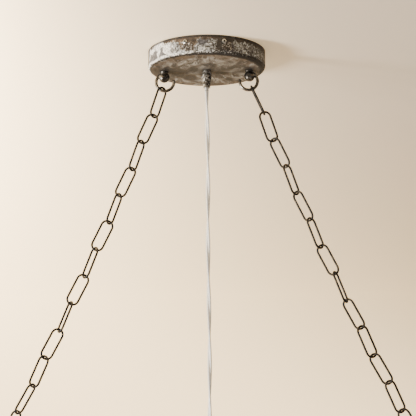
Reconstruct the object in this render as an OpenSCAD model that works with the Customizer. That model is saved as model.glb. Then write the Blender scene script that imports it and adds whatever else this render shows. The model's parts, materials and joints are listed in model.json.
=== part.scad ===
// Rectangular chandelier hung on two long-link chains from a round ceiling canopy.
// Origin: centre of the canopy's rim on the ceiling. X runs along the chandelier, Z up.

/* [Canopy] */
// Outer diameter of the canopy
canopy_d = 150; // [130:1:200]
// Height of the canopy below the ceiling
canopy_h = 24; // [20:0.5:45]
// Sheet thickness of the canopy
canopy_wall = 1.2; // [0.8:0.1:2]
// Outer radius of the rounded lower edge
canopy_round = 6; // [3:0.5:10]
// Depth of the side screws below the ceiling
side_screw_drop = 7.5; // [6:0.5:12]
// Angle of each side screw away from the front or back
side_screw_angle = 18.5; // [14:0.5:24]
// Thread diameter of the side screws
side_screw_d = 4; // [3:0.5:5]

/* [Ceiling bracket] */
// Width of the bracket strap
bracket_w = 50; // [42:1:60]
// Thickness of the bracket
bracket_t = 1.6; // [1.2:0.1:2.5]
// Distance between the centres of the two ceiling slots
slot_spacing = 79; // [70:1:90]
// End-to-end length of a ceiling slot
slot_length = 14; // [8:0.5:20]
// Width of a ceiling slot
slot_w = 4.8; // [4:0.1:6]
// Diameter of the wire hole in the bracket
wire_hole_d = 24; // [16:1:30]

/* [Hooks] */
// Distance between the two hooks
hook_spacing = 109; // [96:1:118]
// Wire diameter of a hook
hook_wire = 4; // [2.5:0.1:4.5]
// Radius of a hook's bend, to the middle of its wire
hook_bend = 11.3; // [10:0.1:13]
// Diameter of the ball above a hook
ball_d = 13.8; // [12:0.2:16]
// Shift of the bend towards the middle of the canopy
hook_shift = 1; // [0:0.5:3]
// Height of the turned collar above the ball
collar_h = 2.2; // [1.5:0.1:4]
// Diameter of the turned collar
collar_d = 11; // [9:0.5:14]
// Diameter of a hook's threaded stud
stud_d = 5; // [4:0.5:6]

/* [Chains] */
// Number of links in each chain
chain_links = 24; // [20:2:30]
// Wire diameter of a link
link_wire = 2.8; // [2:0.1:3]
// Outer width of a link
link_w = 17; // [15.5:0.5:20]
// Clear length inside a link
link_inside = 37.25; // [32:0.05:42]
// Play between one link and the next
link_play = 0.3; // [0.15:0.05:0.4]
// Growth of the chain's lean from one link to the next, in degrees
chain_sag = 0.47; // [0:0.01:0.6]
// Lean of every other link to either side of the chain's line, in degrees
link_lean = 3; // [0:0.5:4]

/* [Supply cord] */
// Width of the flat twin cord
cord_w = 5.6; // [5:0.1:6]
// Thickness of the flat twin cord
cord_t = 2.8; // [2.4:0.1:3]
// Length of one full twist of the cord
cord_twist = 145; // [100:5:220]
// Widest diameter of the cord grip
grip_d = 12.3; // [11:0.1:15]
// Height of the grip's bell
grip_h = 16; // [12:0.5:20]
// Height of the slotted cap below the bell
cap_h = 6; // [4:0.5:8]
// Diameter of the cord passage
cord_hole_d = 6.2; // [6.1:0.1:7]

/* [Frame] */
// Outer length of the frame
frame_length = 920; // [760:5:1000]
// Outer depth of the frame
frame_depth = 300; // [200:5:400]
// Outer height of the frame
frame_height = 300; // [260:5:400]
// Side of the square bars
bar = 12; // [10:0.5:18]
// Corner radius of the square bars
bar_round = 1; // [0.5:0.1:1.5]
// Wire diameter of the lifting eyes
eye_wire = 3.2; // [3:0.1:4]
// Radius of an eye, to the middle of its wire
eye_bend = 10; // [9:0.5:13]
// Height of the turned neck under an eye
eye_neck_h = 3; // [2:0.5:6]
// Diameter of an eye's threaded shank
eye_shank_d = 5.2; // [4:0.1:6]

/* [Lamps] */
// Distance from an end of the frame to the nearest lamp
lamp_inset = 110; // [80:1:150]
// Side of the square tube that carries the lamps
lamp_bar = 14; // [12:0.5:18]
// Wall of the lamp tube
lamp_bar_wall = 1.5; // [1:0.1:2]
// Outer diameter of a drip pan
pan_d = 66; // [50:1:80]
// Height of a drip pan's rim above its floor
pan_rim = 5; // [3:0.5:8]
// Sheet thickness of a drip pan
pan_t = 1.2; // [0.8:0.1:2]
// Outer diameter of a candle sleeve
sleeve_d = 23; // [21:0.5:28]
// Wall of a candle sleeve
sleeve_wall = 1.4; // [1:0.1:1.8]
// Height of a candle sleeve
sleeve_h = 92; // [70:1:110]
// Diameter of a lamp socket
socket_d = 16; // [15:0.5:17]
// Widest diameter of a bulb
bulb_d = 34; // [30:1:38]
// Height of the glass above the sleeve
bulb_h = 76; // [60:1:90]
// Outer diameter of the stem
stem_d = 12; // [11.5:0.5:16]
// Inner diameter of the stem
stem_bore = 8; // [7:0.5:9]

/* [Hidden] */
$fn = 64;

// Finishes, as plain colours
leaf_color = [0.68, 0.64, 0.57];
iron_color = [0.24, 0.21, 0.18];
steel_color = [0.72, 0.73, 0.74];
bronze_color = [0.3, 0.27, 0.23];
cord_color = [0.82, 0.81, 0.78];
brass_color = [0.75, 0.62, 0.35];
ivory_color = [0.93, 0.9, 0.82];
glass_color = [0.95, 0.93, 0.86, 0.6];

// Clearances
thread_gap = 0.06;   // between a screw and the hole it is turned into
hole_gap = 0.2;      // between a screw and a plain hole
skin_gap = 0.1;      // between an ear and the canopy wall
sleeve_gap = 0.15;   // between a bulb's base and its socket

// Canopy
canopy_r = canopy_d / 2;
canopy_floor = -canopy_h;

// Side screws and the ears that they are turned into
side_angles = [
    for (front = [-90, 90])
        for (side = [-1, 1])
            front + side * side_screw_angle
];
screw_head_d = 5.4;
screw_head_h = 1.8;
screw_recess_d = 2.4;
screw_length = 8;
ear_w = 12;
ear_h = side_screw_drop + 5;
ear_r = sqrt(pow(canopy_r - canopy_wall - skin_gap, 2) - pow(ear_w / 2, 2));

// Green earth screw in the bracket
ground_d = 3.6;
ground_x = -16;
ground_y = 18;

// Hooks
hook_x = hook_spacing / 2;
collar_z = canopy_floor - collar_h;
ball_flat = 5.4;     // height of the ball's flat top above its middle
ball_z = collar_z - ball_flat;
wire_rise = 4.7;     // height above the ball's middle that the whole ring would reach
bend_x = hook_x - hook_shift;
bend_z = ball_z - hook_bend + wire_rise;
tip_angle = 8;       // of the hook's free end, seen from the middle of its bend
root_angle = -245;   // of the end inside the ball
washer_d = 16;
washer_t = 1.2;
nut_h = 4;
nut_af = 8;
stud_top = canopy_floor + canopy_wall + washer_t + nut_h + 2;

// Cord grip
nipple_d = 9.4;
locknut_h = 3;
locknut_af = 14;
nipple_top = canopy_floor + canopy_wall + locknut_h + 2;
grip_top_d = 10.3;
grip_low_d = 10;
cap_top_d = 9.8;
cap_low_d = 9;
cap_slot_w = 1.6;
grip_screw_d = 3;
grip_screw_drop = 8;

// Chain. A link's place is the middle of its wire at the top of its bend.
link_r = (link_w - link_wire) / 2;
link_c = link_inside + link_wire;
pitch = link_inside - link_play;
last_link = chain_links - 1;
hook_reach = hook_bend - hook_wire / 2 - link_wire / 2 - link_play;
eye_reach = eye_bend - eye_wire / 2 - link_wire / 2 - link_play;
eye_x = frame_length / 2 - bar / 2;
chain_drop = chain_links * pitch * 0.9;   // rough height of the chain, for the search below

// Lean of link i from upright, outwards: pairs of links share one lean and alternate about it,
// in opposite order on the two sides
function lean(first, side, i) =
    first + 2 * chain_sag * floor(i / 2) + side * link_lean * (i % 2 == 0 ? 1 : -1);
function along(angle) = [sin(angle), -cos(angle)];
function link_place(first, side, i) =
    i == 0 ? [bend_x, bend_z] + hook_reach * along(lean(first, side, 0))
           : link_place(first, side, i - 1) + pitch * along(lean(first, side, i - 1));
function eye_place(first, side) =
    link_place(first, side, last_link)
    + (link_c + eye_reach) * along(lean(first, side, last_link));
// The first link's lean that brings the chain's end over the eye
function solve_lean(first, side, steps) =
    steps == 0 ? first
               : solve_lean(first + (eye_x - eye_place(first, side)[0]) / chain_drop * 57.3,
                            side, steps - 1);
left_lean = solve_lean(20, -1, 6);
right_lean = solve_lean(20, 1, 6);
eye_z = eye_place(left_lean, -1)[1];

// How far each link is turned about the chain's line, 0 being flat to the front
left_turns = [50, -8, 60, -15, 66, 3, -52, 19, -62, 28, -28, 65];
right_turns = [88, 15, -40, 50, -45, 48, -29, 66, -40, 29, -35, 29];
function link_turn(turns, i) =
    i == last_link ? 90
    : i < len(turns) ? turns[i]
    : i % 2 == 0 ? -30 + 6 * (i % 4) : 48 + 4 * (i % 4);

// Frame levels
eye_neck_d = 9;
eye_sink = 0.6;      // how far the ring of an eye sinks into its neck
frame_top = eye_z - eye_bend - eye_wire / 2 - eye_neck_h + eye_sink;
frame_bottom = frame_top - frame_height;
top_z = frame_top - bar / 2;
bottom_z = frame_bottom + bar / 2;
rail_x = frame_length - 2 * bar;
rail_y = frame_depth - 2 * bar;
post_x = (frame_length - bar) / 2;
post_y = (frame_depth - bar) / 2;
lamp_floor = frame_bottom + lamp_bar;
stem_length = frame_top - bar - lamp_floor;
hub_grip_h = 15;
hub_grip_d = 13;
stem_collar_h = 9;
finial_stud_d = stem_bore - 0.2;
finial_up = 14;
finial_bore = 5;
eye_nut_h = 4;
eye_nut_af = 9;
eye_hole_d = eye_shank_d + 2 * thread_gap;
eye_shank_end = frame_top - bar - eye_nut_h - 2;

// Lamps
lamp_count = 6;
lamp_spacing = (frame_length - 2 * lamp_inset) / (lamp_count - 1);
function lamp_x(i) = (i - (lamp_count - 1) / 2) * lamp_spacing;
socket_stub_d = 9.6;
socket_top = sleeve_h - 4;
base_d = 11.8;
base_depth = 20;
bulb_belly = 0.38;   // share of the glass's height at which it is widest
bulb_swell = bulb_d / 2 - base_d / 2 * pow(1 - bulb_belly, 2);
bulb_shape = ln(0.5) / ln(bulb_belly);

// Cord: its route, a ring about every two widths, and its flat oval section.
// The route's points are [x, y, z], from inside the upper grip to inside the lower one.
cord_route = [
    [0, 0, -38], [0, 0, -60], [0.8, 0, -110], [1.2, -0.5, -170], [0.8, -0.8, -230],
    [1.2, -0.5, -290], [2, 0, -350], [2.2, 0.5, -410], [1.8, 0.6, -470], [1.4, 0.2, -530],
    [1.4, -0.3, -590], [1, -0.4, -650], [0.5, -0.2, -710], [0.2, 0, -770], [0, 0, -820],
    [0, 0, -852]
];
cord_sides = 10;
cord_step = 12.6;
cord_phase = 10;

// A ring's height may fall between two points of the route
cord_top = cord_route[0][2];
cord_end = cord_route[len(cord_route) - 1][2];
cord_rings = ceil((cord_top - cord_end) / cord_step);
route_x = [for (p = cord_route) [-p[2], p[0]]];
route_y = [for (p = cord_route) [-p[2], p[1]]];

function cord_ring(z) =
    let (turn = cord_phase + 360 * (cord_top - z) / cord_twist)
    [for (k = [0:cord_sides - 1])
        let (
            a = 360 * (k + 0.5) / cord_sides,
            u = (cord_w - cord_t) / 2 * sign(cos(a) + 0.0001) + cord_t / 2 * cos(a),
            v = cord_t / 2 * sin(a)
        )
        [lookup(-z, route_x) + u * cos(turn) - v * sin(turn),
         lookup(-z, route_y) + u * sin(turn) + v * cos(turn),
         z]];

module cord() {
    rings = [
        for (i = [0:cord_rings])
            cord_ring(cord_top + (cord_end - cord_top) * i / cord_rings)
    ];
    points = [for (ring = rings) for (p = ring) p];
    sides = [
        for (i = [0:cord_rings - 1])
            for (k = [0:cord_sides - 1])
                let (
                    a = i * cord_sides + k,
                    b = i * cord_sides + (k + 1) % cord_sides
                )
                each [[a, b, a + cord_sides], [b, b + cord_sides, a + cord_sides]]
    ];
    top = [for (k = [cord_sides - 1:-1:0]) k];
    end = [for (k = [0:cord_sides - 1]) cord_rings * cord_sides + k];
    color(cord_color) polyhedron(points = points, faces = concat(sides, [top], [end]));
}

// Upright sheet-metal cup seen in section: a wall, a floor and a round lower edge
module pan_section(r, h, round) {
    translate([0, -h]) square([r - round, h]);
    translate([0, -h + round]) square([r, h - round]);
    translate([r - round, -h + round]) circle(round);
}

module at_side_screws() {
    for (a = side_angles) rotate([0, 0, a]) translate([0, 0, -side_screw_drop]) children();
}

module canopy() {
    color(leaf_color)
    difference() {
        rotate_extrude($fn = 180)
        difference() {
            intersection() {
                pan_section(canopy_r, canopy_h, canopy_round);
                translate([0, -canopy_h]) square([canopy_r, canopy_h]);
            }
            intersection() {
                translate([0, 0.01])
                    pan_section(canopy_r - canopy_wall, canopy_h - canopy_wall + 0.01,
                                canopy_round - canopy_wall);
                translate([0, -canopy_h]) square([canopy_r, canopy_h + 1]);
            }
        }
        for (s = [-1, 1])
            translate([s * hook_x, 0, canopy_floor - 1])
                cylinder(d = stud_d + 2 * hole_gap, h = canopy_wall + 2);
        translate([0, 0, canopy_floor - 1])
            cylinder(d = nipple_d + 2 * hole_gap, h = canopy_wall + 2);
        at_side_screws()
            translate([canopy_r - canopy_wall - 3, 0, 0]) rotate([0, 90, 0])
                cylinder(d = side_screw_d + 2 * hole_gap, h = canopy_wall + 6);
    }
}

// Flat strap against the ceiling with four turned-down ears, one for each side screw
module mounting_bracket() {
    strap_y = 2 * (ear_r - 6);
    color(steel_color)
    difference() {
        union() {
            translate([-bracket_w / 2, -strap_y / 2, -bracket_t])
                cube([bracket_w, strap_y, bracket_t]);
            for (a = side_angles)
                rotate([0, 0, a]) {
                    translate([ear_r - 22, -ear_w / 2, -bracket_t])
                        cube([22, ear_w, bracket_t]);
                    translate([ear_r - bracket_t, -ear_w / 2, -ear_h])
                        cube([bracket_t, ear_w, ear_h]);
                }
        }
        for (s = [-1, 1])
            translate([0, s * slot_spacing / 2, 0]) slot_cut();
        translate([0, 0, -bracket_t - 1]) cylinder(d = wire_hole_d, h = bracket_t + 2);
        translate([ground_x, ground_y, -bracket_t - 1])
            cylinder(d = ground_d + 2 * thread_gap, h = bracket_t + 2);
        at_side_screws()
            translate([ear_r - bracket_t - 2, 0, 0]) rotate([0, 90, 0])
                cylinder(d = side_screw_d + 2 * thread_gap, h = bracket_t + 4);
    }
}

module slot_cut() {
    straight = slot_length - slot_w;
    translate([-slot_w / 2, -straight / 2, -bracket_t - 1])
        cube([slot_w, straight, bracket_t + 2]);
    for (s = [-1, 1])
        translate([0, s * straight / 2, -bracket_t - 1])
            cylinder(d = slot_w, h = bracket_t + 2);
}

// Low button head with a round recess, on a plain shank, pointing along X
module side_screw() {
    rotate([0, 90, 0])
    difference() {
        union() {
            translate([0, 0, -screw_length]) cylinder(d = side_screw_d, h = screw_length + 0.5);
            intersection() {
                cylinder(d = screw_head_d, h = screw_head_h);
                translate([0, 0, screw_head_h - screw_head_d * 0.75])
                    sphere(r = screw_head_d * 0.75);
            }
        }
        translate([0, 0, screw_head_h - 0.9]) cylinder(d = screw_recess_d, h = 2);
    }
}

module canopy_screws() {
    color(bronze_color)
    at_side_screws() translate([canopy_r + 0.05, 0, 0]) side_screw();
}

module ground_screw() {
    color([0.25, 0.5, 0.28])
    translate([ground_x, ground_y, -bracket_t]) {
        translate([0, 0, -5]) cylinder(d = ground_d, h = 5 + bracket_t - 0.1);
        difference() {
            translate([0, 0, -2.6]) cylinder(d = 7, h = 2.6, $fn = 6);
            translate([-4, -0.5, -3]) cube([8, 1, 1.2]);
        }
    }
}

// Bend in the XZ plane about the origin, from one angle to another
module wire_bend(r, wire, from, to) {
    rotate([90, 0, 0]) rotate([0, 0, from])
        rotate_extrude(angle = to - from, $fn = 96) translate([r, 0]) circle(d = wire, $fn = 32);
}

// Domed end of a bent wire, at an angle of its bend
module wire_tip(r, wire, angle) {
    rotate([0, -angle, 0]) translate([r, 0, -wire / 10]) sphere(d = wire * 0.97, $fn = 32);
}

// Open hook with a ball on top, for the right side of the canopy
module hook() {
    color(iron_color) {
        difference() {
            union() {
                translate([hook_x, 0, ball_z]) sphere(d = ball_d);
                translate([bend_x, 0, bend_z]) mirror([1, 0, 0]) {
                    wire_bend(hook_bend, hook_wire, root_angle, tip_angle);
                    wire_tip(hook_bend, hook_wire, tip_angle);
                }
            }
            translate([hook_x - ball_d, -ball_d, collar_z])
                cube([2 * ball_d, 2 * ball_d, ball_d]);
        }
        translate([hook_x, 0, collar_z - 1])
            cylinder(d = stud_d, h = stud_top - collar_z + 1);
    }
}

module right_hook() {
    hook();
}

module left_hook() {
    mirror([1, 0, 0]) hook();
}

// Turned ring with a rounded belly, bored for the stud
module hook_collars() {
    color(iron_color)
    for (s = [-1, 1])
        translate([s * hook_x, 0, collar_z])
            difference() {
                rotate_extrude() {
                    square([collar_d / 2 - collar_h / 2, collar_h]);
                    translate([collar_d / 2 - collar_h / 2, collar_h / 2])
                        circle(d = collar_h, $fn = 32);
                }
                translate([0, 0, -1]) cylinder(d = stud_d + 2 * thread_gap, h = collar_h + 2);
            }
}

module hook_washers() {
    color(steel_color)
    for (s = [-1, 1])
        translate([s * hook_x, 0, canopy_floor + canopy_wall])
            difference() {
                cylinder(d = washer_d, h = washer_t);
                translate([0, 0, -1]) cylinder(d = stud_d + 2 * hole_gap, h = washer_t + 2);
            }
}

module hex_nut(across, h, bore) {
    difference() {
        intersection() {
            cylinder(d = across / cos(30), h = h, $fn = 6);
            translate([0, 0, h / 2]) sphere(r = sqrt(pow(across * 0.56, 2) + pow(h / 2, 2)));
        }
        translate([0, 0, -1]) cylinder(d = bore, h = h + 2);
    }
}

module hook_nuts() {
    color(steel_color)
    for (s = [-1, 1])
        translate([s * hook_x, 0, canopy_floor + canopy_wall + washer_t])
            hex_nut(nut_af, nut_h, stud_d + 2 * thread_gap);
}

// Bell of the cord grip, swelling below the canopy, with a threaded nipple above
module cord_grip() {
    swell = grip_h * 0.42;
    color(bronze_color)
    difference() {
        union() {
            translate([0, 0, canopy_floor])
            rotate_extrude()
                polygon([
                    [0, 0], [grip_top_d / 2 - 0.6, 0], [grip_top_d / 2, -0.6],
                    for (a = [0:15:90])
                        [grip_top_d / 2 + (grip_d - grip_top_d) / 2 * sin(a),
                         -1 - (swell - 1) * (1 - cos(a))],
                    [grip_d / 2, -swell - 1.5], [grip_low_d / 2, -grip_h], [0, -grip_h]
                ]);
            translate([0, 0, canopy_floor - 1])
                cylinder(d = nipple_d, h = nipple_top - canopy_floor + 1);
        }
        translate([0, 0, canopy_floor - grip_h - 1])
            cylinder(d = cord_hole_d, h = grip_h + nipple_top - canopy_floor + 2);
        translate([0, 0, canopy_floor - grip_screw_drop]) rotate([0, -90, 0])
            cylinder(d = grip_screw_d + 2 * thread_gap, h = grip_d);
    }
}

// Slotted cap that closes the grip round the cord
module grip_cap() {
    color(bronze_color)
    translate([0, 0, canopy_floor - grip_h - cap_h])
    difference() {
        cylinder(d1 = cap_low_d, d2 = cap_top_d, h = cap_h);
        translate([0, 0, -1]) cylinder(d = cord_hole_d, h = cap_h + 2);
        translate([-cap_slot_w / 2, -cap_top_d, -1])
            cube([cap_slot_w, 2 * cap_top_d, cap_h * 0.45 + 1]);
    }
}

module grip_screw() {
    out = grip_d / 2 + 1.2;
    in = cord_hole_d / 2 + 0.1;
    color(steel_color)
    translate([0, 0, canopy_floor - grip_screw_drop]) rotate([0, -90, 0])
    difference() {
        translate([0, 0, in]) cylinder(d = grip_screw_d, h = out - in);
        translate([-2, -0.3, out - 0.8]) cube([4, 0.6, 2]);
    }
}

module grip_locknut() {
    color(steel_color)
    translate([0, 0, canopy_floor + canopy_wall])
        hex_nut(locknut_af, locknut_h, nipple_d + 2 * thread_gap);
}

// Long oval link of round wire, hung from the middle of its upper bend
module link() {
    translate([0, 0, -link_r]) wire_bend(link_r, link_wire, 0, 180);
    translate([0, 0, link_r - link_c]) wire_bend(link_r, link_wire, 180, 360);
    for (s = [-1, 1])
        translate([s * link_r, 0, link_r - link_c])
            cylinder(d = link_wire, h = link_c - 2 * link_r, $fn = 32);
}

// Links from one number to another of the chain on a side, which is -1 left and 1 right
module chain_part(side, turns, from, to) {
    color(iron_color)
    for (i = [from:to]) {
        first = side < 0 ? left_lean : right_lean;
        place = link_place(first, side, i);
        translate([side * place[0], 0, place[1]])
            rotate([0, -side * lean(first, side, i), 0])
                rotate([0, 0, link_turn(turns, i)]) link();
    }
}

module left_top_link() {
    chain_part(-1, left_turns, 0, 0);
}

module left_chain() {
    chain_part(-1, left_turns, 1, last_link - 1);
}

module left_bottom_link() {
    chain_part(-1, left_turns, last_link, last_link);
}

module right_top_link() {
    chain_part(1, right_turns, 0, 0);
}

module right_chain() {
    chain_part(1, right_turns, 1, last_link - 1);
}

module right_bottom_link() {
    chain_part(1, right_turns, last_link, last_link);
}

// Closed eye on a turned neck, with a threaded shank through the short rail
module eye(side) {
    color(iron_color)
    translate([side * eye_x, 0, 0]) {
        translate([0, 0, eye_z])
            rotate([90, 0, 0]) rotate_extrude($fn = 96)
                translate([eye_bend, 0]) circle(d = eye_wire, $fn = 32);
        translate([0, 0, frame_top])
            cylinder(d1 = eye_neck_d, d2 = eye_wire + 1.4, h = eye_neck_h + 1);
        translate([0, 0, eye_shank_end])
            cylinder(d = eye_shank_d, h = frame_top - eye_shank_end);
    }
}

module left_eye() {
    eye(-1);
}

module right_eye() {
    eye(1);
}

module eye_nuts() {
    color(steel_color)
    for (s = [-1, 1])
        translate([s * eye_x, 0, frame_top - bar - eye_nut_h])
            hex_nut(eye_nut_af, eye_nut_h, eye_hole_d);
}

// Square bar with rounded corners, along Z from the origin
module square_bar(side, length) {
    linear_extrude(length) {
        square([side, side - 2 * bar_round], center = true);
        square([side - 2 * bar_round, side], center = true);
        for (x = [-1, 1])
            for (y = [-1, 1])
                translate([x, y] * (side / 2 - bar_round)) circle(bar_round, $fn = 16);
    }
}

module long_rail(y, z) {
    color(leaf_color)
    translate([-rail_x / 2, y, z]) rotate([0, 90, 0]) square_bar(bar, rail_x);
}

module short_rail(x, z, hole) {
    color(leaf_color)
    difference() {
        translate([x, rail_y / 2, z]) rotate([90, 0, 0]) square_bar(bar, rail_y);
        translate([x, 0, z - bar]) cylinder(d = hole, h = 2 * bar);
    }
}

module plain_short_rail(x, z) {
    color(leaf_color)
    translate([x, rail_y / 2, z]) rotate([90, 0, 0]) square_bar(bar, rail_y);
}

module post(x, y) {
    color(leaf_color)
    translate([x, y, frame_bottom]) square_bar(bar, frame_height);
}

// Bar between the two long upper rails, which carries the stem and takes in the cord
module cross_bar() {
    short_rail(0, top_z, cord_hole_d + 0.8);
}

// Bell on the cross bar that guides the cord inside
module hub_grip() {
    color(bronze_color)
    translate([0, 0, frame_top])
    difference() {
        rotate_extrude()
            polygon([
                [0, 0], [hub_grip_d / 2 + 1.5, 0], [hub_grip_d / 2 + 1.5, 1.5],
                for (a = [0:15:90])
                    [cord_hole_d / 2 + 1.4 + (hub_grip_d / 2 - cord_hole_d / 2 - 1.4) * cos(a),
                     2.5 + (hub_grip_h - 2.5) * sin(a)],
                [0, hub_grip_h]
            ]);
        translate([0, 0, -1]) cylinder(d = cord_hole_d, h = hub_grip_h + 2);
    }
}

module stem() {
    color(leaf_color)
    translate([0, 0, lamp_floor])
    difference() {
        cylinder(d = stem_d, h = stem_length);
        translate([0, 0, -1]) cylinder(d = stem_bore, h = stem_length + 2);
    }
}

// Turned collar round one end of the stem, with a hollowed waist above its foot
module stem_collar() {
    stem_r = stem_d / 2;
    foot_h = 2.4;
    waist = 3.3;
    difference() {
        rotate_extrude()
            polygon([
                [0, 0], [stem_r + 6, 0], [stem_r + 6, 1.6], [stem_r + waist + 1.2, foot_h],
                for (a = [15:15:90])
                    [stem_r + 1.2 + waist * (1 - sin(a)),
                     foot_h + (stem_collar_h - foot_h) * (1 - cos(a))],
                [0, stem_collar_h]
            ]);
        translate([0, 0, -1]) cylinder(d = stem_d + 2 * thread_gap, h = stem_collar_h + 2);
    }
}

module stem_collars() {
    color(leaf_color) {
        translate([0, 0, lamp_floor]) stem_collar();
        translate([0, 0, frame_top - bar]) mirror([0, 0, 1]) stem_collar();
    }
}

// Square tube along the chandelier that carries the lamps and hides their wires
module lamp_bar_tube() {
    inner = lamp_bar - 2 * lamp_bar_wall;
    color(leaf_color)
    difference() {
        translate([-rail_x / 2, 0, lamp_floor - lamp_bar / 2]) rotate([0, 90, 0])
            square_bar(lamp_bar, rail_x);
        translate([-rail_x / 2 - 1, -inner / 2, lamp_floor - lamp_bar + lamp_bar_wall])
            cube([rail_x + 2, inner, inner]);
        for (i = [0:lamp_count - 1])
            translate([lamp_x(i), 0, lamp_floor - lamp_bar_wall - 1])
                cylinder(d = socket_stub_d + 2 * thread_gap, h = lamp_bar_wall + 2);
        translate([0, 0, lamp_floor - lamp_bar - 1])
            cylinder(d = finial_stud_d + 2 * hole_gap, h = lamp_bar + 2);
    }
}

// Turned drop under the lamp tube; its hollow stud draws the stem and the tube together
module finial() {
    color(leaf_color)
    translate([0, 0, frame_bottom])
    difference() {
        union() {
            rotate_extrude()
                polygon([
                    [0, 0], [10, 0], [10, -2], [8.5, -3],
                    for (a = [0:15:90]) [8.5 - 4 * sin(a), -3 - 4 * (1 - cos(a))],
                    for (a = [30:15:150]) [8 * sin(a), -13 + 8 * cos(a)],
                    for (a = [30:30:150]) [3.5 * sin(a), -23 + 3.5 * cos(a)],
                    [0, -26.5]
                ]);
            cylinder(d = finial_stud_d, h = lamp_bar + finial_up);
        }
        translate([0, 0, 2]) cylinder(d = finial_bore, h = lamp_bar + finial_up);
    }
}

module at_lamp(i) {
    translate([lamp_x(i), 0, lamp_floor]) children();
}

// Shallow dished pan with a rolled rim, under a candle
module drip_pan(i) {
    foot = sleeve_d / 2 + 2;
    color(leaf_color)
    at_lamp(i)
    difference() {
        rotate_extrude($fn = 96) {
            polygon([
                [0, 0], [foot, 0],
                for (a = [0:10:90])
                    [foot + (pan_d / 2 - 1 - foot) * sin(a), pan_rim * (1 - cos(a))],
                for (a = [90:-10:0])
                    [foot + (pan_d / 2 - 1 - foot - pan_t) * sin(a),
                     pan_t + pan_rim * (1 - cos(a))],
                [0, pan_t]
            ]);
            translate([pan_d / 2 - 1, pan_rim + 0.4]) circle(1, $fn = 24);
        }
        translate([0, 0, -1]) cylinder(d = socket_stub_d + 2 * hole_gap, h = pan_t + 2);
    }
}

module candle_sleeve(i) {
    color(ivory_color)
    at_lamp(i) translate([0, 0, pan_t])
    difference() {
        cylinder(d = sleeve_d, h = sleeve_h);
        translate([0, 0, -1]) cylinder(d = sleeve_d - 2 * sleeve_wall, h = sleeve_h + 2);
    }
}

// Socket body with a hollow threaded stub that screws into the lamp tube
module sockets() {
    color(brass_color)
    for (i = [0:lamp_count - 1])
        at_lamp(i) translate([0, 0, pan_t])
        difference() {
            union() {
                cylinder(d = socket_d, h = socket_top);
                translate([0, 0, -pan_t - 5]) cylinder(d = socket_stub_d, h = pan_t + 6);
            }
            translate([0, 0, socket_top - base_depth])
                cylinder(d = base_d + 2 * sleeve_gap, h = base_depth + 1);
            translate([0, 0, -pan_t - 6]) cylinder(d = 6, h = pan_t + 10);
        }
}

// Flame-shaped lamp with a narrow base in the socket
module bulb(i) {
    color(glass_color)
    at_lamp(i) translate([0, 0, pan_t + socket_top])
    union() {
        translate([0, 0, -base_depth]) cylinder(d = base_d, h = base_depth + 2);
        translate([0, 0, sleeve_h - socket_top + 0.5])
        rotate_extrude($fn = 48)
            polygon([
                [0, -2.8], [base_d / 2, -2.8], [base_d / 2, 0],
                for (t = [0.05:0.05:0.95])
                    [base_d / 2 * pow(1 - t, 2) + bulb_swell * sin(180 * pow(t, bulb_shape)),
                     bulb_h * t],
                [0.9, bulb_h - 0.6], [0, bulb_h]
            ]);
    }
}

canopy();
mounting_bracket();
canopy_screws();
ground_screw();
left_hook();
right_hook();
hook_collars();
hook_washers();
hook_nuts();
cord_grip();
grip_cap();
grip_screw();
grip_locknut();
left_top_link();
left_chain();
left_bottom_link();
right_top_link();
right_chain();
right_bottom_link();
cord();
left_eye();
right_eye();
eye_nuts();
long_rail(-post_y, top_z);  // top_front_rail
long_rail(post_y, top_z);  // top_back_rail
short_rail(-eye_x, top_z, eye_hole_d);  // top_left_rail
short_rail(eye_x, top_z, eye_hole_d);  // top_right_rail
long_rail(-post_y, bottom_z);  // bottom_front_rail
long_rail(post_y, bottom_z);  // bottom_back_rail
plain_short_rail(-post_x, bottom_z);  // bottom_left_rail
plain_short_rail(post_x, bottom_z);  // bottom_right_rail
post(-post_x, -post_y);  // front_left_post
post(post_x, -post_y);  // front_right_post
post(-post_x, post_y);  // back_left_post
post(post_x, post_y);  // back_right_post
cross_bar();
hub_grip();
stem();
stem_collars();
lamp_bar_tube();
finial();
sockets();
for (i = [0:lamp_count - 1]) {
    drip_pan(i);
    candle_sleeve(i);
    bulb(i);
}
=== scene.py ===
import json
import math

import bmesh
import bpy
from mathutils import Matrix, Vector


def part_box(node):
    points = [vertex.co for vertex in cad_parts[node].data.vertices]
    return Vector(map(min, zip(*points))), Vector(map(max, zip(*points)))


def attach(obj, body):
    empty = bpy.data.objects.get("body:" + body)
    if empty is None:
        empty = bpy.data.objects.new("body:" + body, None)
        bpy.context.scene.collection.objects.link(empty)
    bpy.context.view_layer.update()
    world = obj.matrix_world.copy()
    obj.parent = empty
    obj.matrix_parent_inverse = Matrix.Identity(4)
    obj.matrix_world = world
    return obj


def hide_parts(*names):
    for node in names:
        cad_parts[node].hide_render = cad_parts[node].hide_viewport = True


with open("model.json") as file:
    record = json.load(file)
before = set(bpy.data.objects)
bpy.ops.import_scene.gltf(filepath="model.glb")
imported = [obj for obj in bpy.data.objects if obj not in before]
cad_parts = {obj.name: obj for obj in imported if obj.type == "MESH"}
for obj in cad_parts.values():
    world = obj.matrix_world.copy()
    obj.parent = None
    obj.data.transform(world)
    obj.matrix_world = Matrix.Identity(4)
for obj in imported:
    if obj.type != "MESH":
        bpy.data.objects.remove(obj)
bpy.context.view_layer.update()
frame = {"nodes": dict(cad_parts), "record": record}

nodes = frame["nodes"]
mm = 0.001
smoothAngle = math.radians(40)


# Small helpers for picking things in code, as one does by hand

def deselectAll():
    bpy.ops.object.select_all(action="DESELECT")


def activate(piece):
    deselectAll()
    piece.select_set(True)
    bpy.context.view_layer.objects.active = piece


def pickEdges(piece, test):
    mesh = bmesh.from_edit_mesh(piece.data)
    for part in (mesh.verts, mesh.edges, mesh.faces):
        for item in part:
            item.select = False
    for edge in mesh.edges:
        if test(*(v.co for v in edge.verts)):
            edge.select_set(True)
    bmesh.update_edit_mesh(piece.data)


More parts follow.
